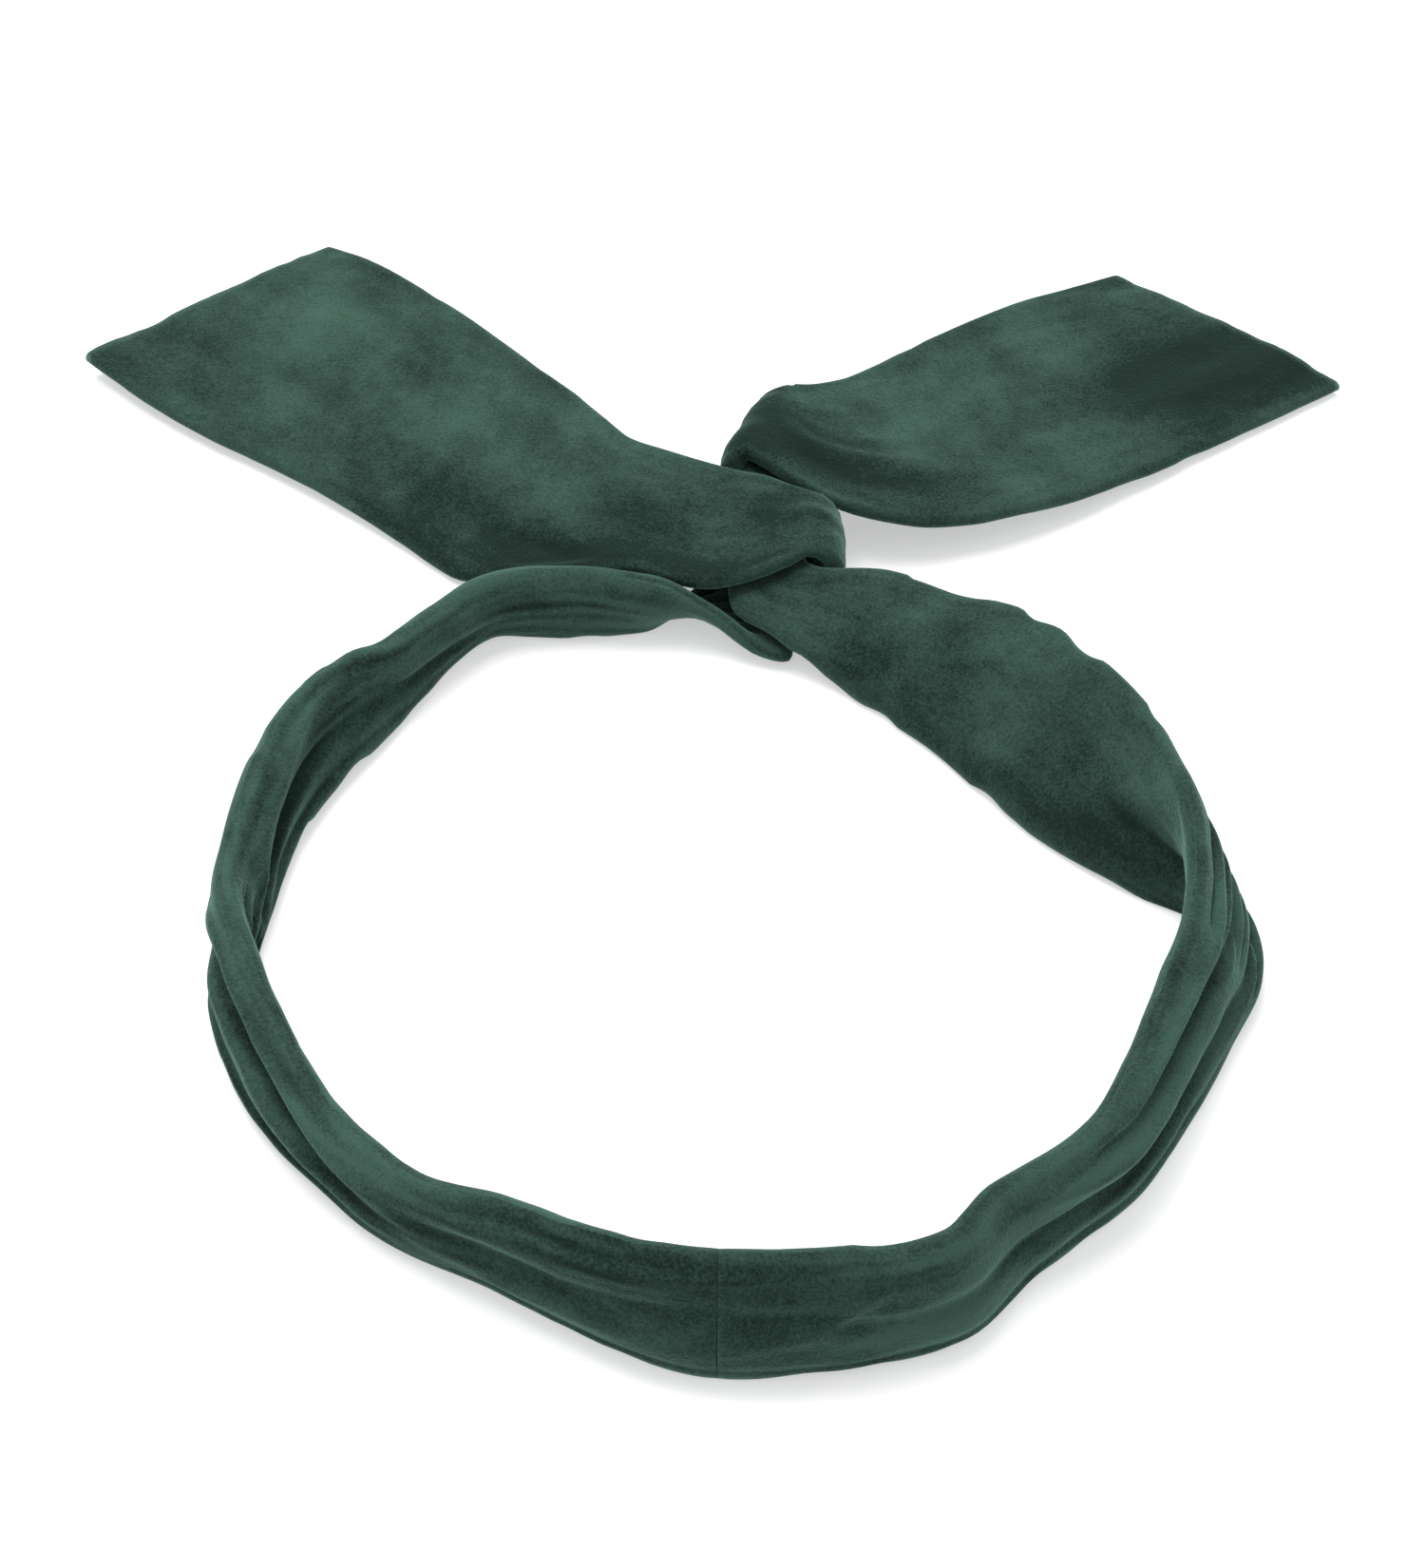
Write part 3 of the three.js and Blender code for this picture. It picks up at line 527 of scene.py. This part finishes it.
def suede(name, dark, light):
    shader = Shader(name)
    cloth = shader.node("ShaderNodeUVMap", {"uv_map": "cloth"}, {})
    stretch = shader.node("ShaderNodeVectorMath", {"operation": "MULTIPLY"}, {0: cloth, 1: (1.0, 0.4, 1)})
    place = shader.node("ShaderNodeTexCoord", {}, {}, "Object")
    nap_and_painted_light = shader.node("ShaderNodeAttribute", {"attribute_name": "nap_and_painted_light"}, {}, "Fac")
    clouds = shader.node("ShaderNodeTexNoise", {}, {"Vector": cloth, "Scale": 3.4, "Detail": 5.0,
                                                     "Roughness": 0.6})
    strokes = shader.node("ShaderNodeTexNoise", {}, {"Vector": stretch, "Scale": 12.0, "Detail": 3.0})
    tufts = shader.node("ShaderNodeTexNoise", {}, {"Vector": place, "Scale": 420.0, "Detail": 3.0,
                                                    "Roughness": 0.7})
    fibres = shader.node("ShaderNodeTexNoise", {}, {"Vector": place, "Scale": 1900.0, "Detail": 2.0,
                                                     "Roughness": 0.7})
    # The nap attribute carries painted highlights and painted shade as well as the lie of the nap.
    tone_and_painted_light = (clouds - 0.5) * 2.0 + (strokes - 0.5) * 1.0 + nap_and_painted_light * 0.42
    tone_and_painted_light = tone_and_painted_light + (tufts - 0.5) * 0.5 + (fibres - 0.5) * 1.5
    mixed = shader.node("ShaderNodeMix", {"data_type": "RGBA", "clamp_factor": True},
                        {"Factor": tone_and_painted_light + 0.46, 6: (*dark, 1), 7: (*light, 1)}, 2)
    pile = fibres * 0.6 + tufts * 0.4
    bump = shader.node("ShaderNodeBump", {}, {"Height": pile, "Strength": 0.7, "Distance": 0.0006})
    shader.feed(shader.surface, {
        "Base Color": mixed, "Normal": bump, "Roughness": 0.95, "Specular IOR Level": 0.1,
        "Sheen Weight": 0.35, "Sheen Roughness": 0.4, "Sheen Tint": (0.40, 0.74, 0.60, 1),
    })
    return shader.material


suede_cloth = suede("green suede", (0.0050, 0.0125, 0.0095), (0.0310, 0.0660, 0.0510))
for piece in (left_sleeve, right_sleeve):
    piece.data.materials.append(suede_cloth)

LEFT_BEND = {"start": (-0.0300, 0.0586, 0.009), "end": (-0.0434, 0.0690, 0.007)}
RIGHT_BEND = {"start": (0.0288, 0.0645, 0.011), "end": (0.0427, 0.0744, 0.009)}
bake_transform(left_sleeve)
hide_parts("left_loop_sleeve", "left_tail_sleeve")
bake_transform(right_sleeve)
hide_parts("right_loop_sleeve", "right_tail_sleeve")


# ---------------------------------------------------------------------------------------------------------
# The nape seam. The two halves meet here with their raw ends turned in, and the turned-in cloth, the paler
# back of the suede, lies inside the sleeve on both sides of the stitching.

ALLOWANCE = 6.5
LINING_GAP = CLOTH + 0.25


def suede_back(name, colour):
    """The plain knitted backing of the suede, with its fine rows of loops."""
    shader = Shader(name)
    place = shader.node("ShaderNodeTexCoord", {}, {}, "Object")
    knit = shader.node("ShaderNodeTexVoronoi", {}, {"Vector": place, "Scale": 1400.0}, "Distance")
    fluff = shader.node("ShaderNodeTexNoise", {}, {"Vector": place, "Scale": 300.0, "Detail": 3.0})
    shade = shader.node("ShaderNodeMix", {"data_type": "RGBA", "clamp_factor": True},
                        {"Factor": knit * 0.7 + fluff * 0.5, 6: tuple(c * 0.6 for c in colour) + (1,),
                         7: tuple(c * 1.4 for c in colour) + (1,)}, 2)
    bump = shader.node("ShaderNodeBump", {}, {"Height": knit, "Strength": 0.4, "Distance": 0.0003})
    shader.feed(shader.surface, {"Base Color": shade, "Normal": bump, "Roughness": 0.95})
    return shader.material


backing = suede_back("suede backing", (0.030, 0.048, 0.041))

nape = left_run.travelled[-1]
near_left = left_run.stretch(LINING_GAP, nape - ALLOWANCE, nape)
near_right = right_run.stretch(LINING_GAP, 0, ALLOWANCE)
nape_seam = tube_mesh("nape_seam_cloth", np.concatenate([near_left, near_right[1:]]))
thicken(nape_seam, 0.4)
nape_seam.data.materials.append(backing)
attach(nape_seam, "band")
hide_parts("nape_seam")


# ---------------------------------------------------------------------------------------------------------
# The hems. At each tail's end the cloth is turned in and slip stitched shut, which leaves a thin folded strip
# of the suede's back just inside the end.

HEM = 8


def hem(name, run, tip, tail, node):
    """The strip inside one tail's end."""
    into = 1 if tip == 0 else -1
    strip = tube_mesh(name, run.stretch(LINING_GAP, tip + into, tip + into * (HEM + 1)))
    thicken(strip, 0.4)
    strip.data.materials.append(backing)
    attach(strip, tail)
    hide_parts(node)
    return strip


hem("left_hem_cloth", left_run, 0, "left_tail", "left_end_hem")
hem("right_hem_cloth", right_run, right_run.travelled[-1], "right_tail", "right_end_hem")


# ---------------------------------------------------------------------------------------------------------
# The wire. One annealed iron wire runs along both edges of the sleeve and across behind each hem, so that the
# band holds any twist. It is drawn as two lengths, which meet above the nape and in the tape below.

TAPE_FROM_NAPE = 26


def rod_mesh(name, points, radius, sides=10, hole=None):
    """A round rod along points, or a tube when it has a hole."""
    points = np.array(points)
    along = np.gradient(points, axis=0)
    along /= np.linalg.norm(along, axis=1, keepdims=True)
    across = np.cross(along[0], (0.3, 0.5, 0.8))
    turns = np.linspace(0, 2 * math.pi, sides, endpoint=False)
    circles = []
    for point, ahead in zip(points, along):
        across = across - ahead * across.dot(ahead)
        across /= np.linalg.norm(across)
        up = np.cross(ahead, across)
        circles.append([math.cos(t) * across + math.sin(t) * up for t in turns])
    circles = np.array(circles)
    grid = points[:, None, :] + circles * radius
    if hole:
        bore = points[:, None, :] + circles * hole
        grid = np.concatenate([grid, bore[::-1], grid[:1]])
        return tube_mesh(name, grid)
    return tube_mesh(name, grid, (0, 1))


def wire_line(run, inner_end, outer_end):
    """From the nape along the second edge, across behind the hem and back along the first edge."""
    order = slice(None) if run is right_run else slice(None, None, -1)
    keep = np.abs(run.travelled - outer_end)[order] > HEM + 2.4
    out, back = run.edge_line(1)[order][keep], run.edge_line(-1)[order][keep]
    last = np.arange(len(run.place))[order][keep][-1]
    beyond = last + (1 if run is right_run else -1)
    across = [run.core(beyond, v) for v in np.linspace(1, -1, 24) * (1 - 2.6 / run.half[beyond])]
    return [*inner_end, *out, *across, *back[::-1]]


def iron(name):
    """Dull drawn iron, with patches of dark scale."""
    shader = Shader(name)
    place = shader.node("ShaderNodeTexCoord", {}, {}, "Object")
    scale = shader.node("ShaderNodeTexNoise", {}, {"Vector": place, "Scale": 260.0, "Detail": 4.0})
    shade = shader.node("ShaderNodeMix", {"data_type": "RGBA", "clamp_factor": True},
                        {"Factor": (scale - 0.35) * 2.2,
                         6: (0.10, 0.10, 0.10, 1),
                         7: (0.32, 0.32, 0.33, 1)}, 2)
    shader.feed(shader.surface, {"Base Color": shade, "Metallic": 1.0, "Roughness": scale * 0.4 + 0.25})
    return shader.material


drawn_iron = iron("annealed iron")
lower_right = right_run.edge_line(1)
to_tape = right_run.from_nape < TAPE_FROM_NAPE
left_wire = rod_mesh("left_wire", wire_line(left_run, lower_right[to_tape][:0:-1], 0), WIRE_RADIUS)
right_points = wire_line(right_run, [], right_run.travelled[-1])[int(to_tape.sum()):]
right_wire = rod_mesh("right_wire", right_points, WIRE_RADIUS)
for wire, tail, bend_at, nodes in (
    (left_wire, "left_tail", LEFT_BEND, ("lower_left_wire", "left_tail_wire")),
    (right_wire, "right_tail", RIGHT_BEND, ("upper_loop_wire", "lower_right_wire", "right_tail_wire")),
):
    wire.data.materials.append(drawn_iron)
    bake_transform(wire)
    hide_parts(*nodes)


# ---------------------------------------------------------------------------------------------------------
# The tape. A turn of black cloth tape holds the two ends of the wire together, beside the nape.

TAPE_LENGTH = 16
taped = np.abs(right_run.from_nape - TAPE_FROM_NAPE) <= TAPE_LENGTH / 2
tape = rod_mesh("wire_tape", lower_right[taped], WIRE_RADIUS + 0.45, 20, WIRE_RADIUS + 0.05)


def black_tape(name):
    """Black woven tape, its threads just visible."""
    shader = Shader(name)
    place = shader.node("ShaderNodeTexCoord", {}, {}, "Object")
    threads = shader.node("ShaderNodeTexWave", {},
                          {"Vector": place, "Scale": 900.0, "Distortion": 2.0}, "Fac")
    shade = shader.node("ShaderNodeMix", {"data_type": "RGBA"},
                        {"Factor": threads, 6: (0.008, 0.009, 0.008, 1), 7: (0.020, 0.022, 0.020, 1)}, 2)
    bump = shader.node("ShaderNodeBump", {}, {"Height": threads, "Strength": 0.3, "Distance": 0.0002})
    shader.feed(shader.surface, {"Base Color": shade, "Normal": bump, "Roughness": 0.75})
    return shader.material


tape.data.materials.append(black_tape("black cloth tape"))
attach(tape, "band")
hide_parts("wire_joint_tape")


# ---------------------------------------------------------------------------------------------------------
# The setting: a white table top under a broad soft light from above, seen from above the nape side.

bpy.ops.mesh.primitive_plane_add(size=6)
floor = bpy.context.object
floor.name = "floor"
floor_shader = Shader("white table")
floor_shader.feed(floor_shader.surface, {"Base Color": (0.55, 0.55, 0.56, 1), "Roughness": 0.8,
                                        "Emission Color": (1, 1, 1, 1), "Emission Strength": 0.46})
floor.data.materials.append(floor_shader.material)

world = bpy.data.worlds.new("studio")
world.use_nodes = True
world.node_tree.nodes["Background"].inputs["Color"].default_value = (1, 1, 1, 1)
world.node_tree.nodes["Background"].inputs["Strength"].default_value = 0.9
bpy.context.scene.world = world


def lamp(name, at, aim, size, watts):
    data = bpy.data.lights.new(name, "AREA")
    data.shape = "SQUARE"
    data.size = size
    data.energy = watts
    obj = bpy.data.objects.new(name, data)
    bpy.context.scene.collection.objects.link(obj)
    obj.location = at
    obj.rotation_euler = (Vector(aim) - Vector(at)).to_track_quat("-Z", "Y").to_euler()


lamp("overhead softbox", (-0.25, 0.45, 1.3), (0, 0, 0), 1.0, 26)

ELEVATION, DISTANCE = math.radians(46), 0.655
camera_data = bpy.data.cameras.new("camera")
camera_data.lens = 85
camera = bpy.data.objects.new("camera", camera_data)
bpy.context.scene.collection.objects.link(camera)
aim = Vector((0.0001, -0.0088, 0))
camera.location = aim + Vector((0, -math.cos(ELEVATION), math.sin(ELEVATION))) * DISTANCE
camera.rotation_euler = (aim - camera.location).to_track_quat("-Z", "Y").to_euler()
bpy.context.scene.camera = camera
bpy.context.scene.view_settings.view_transform = "Standard"
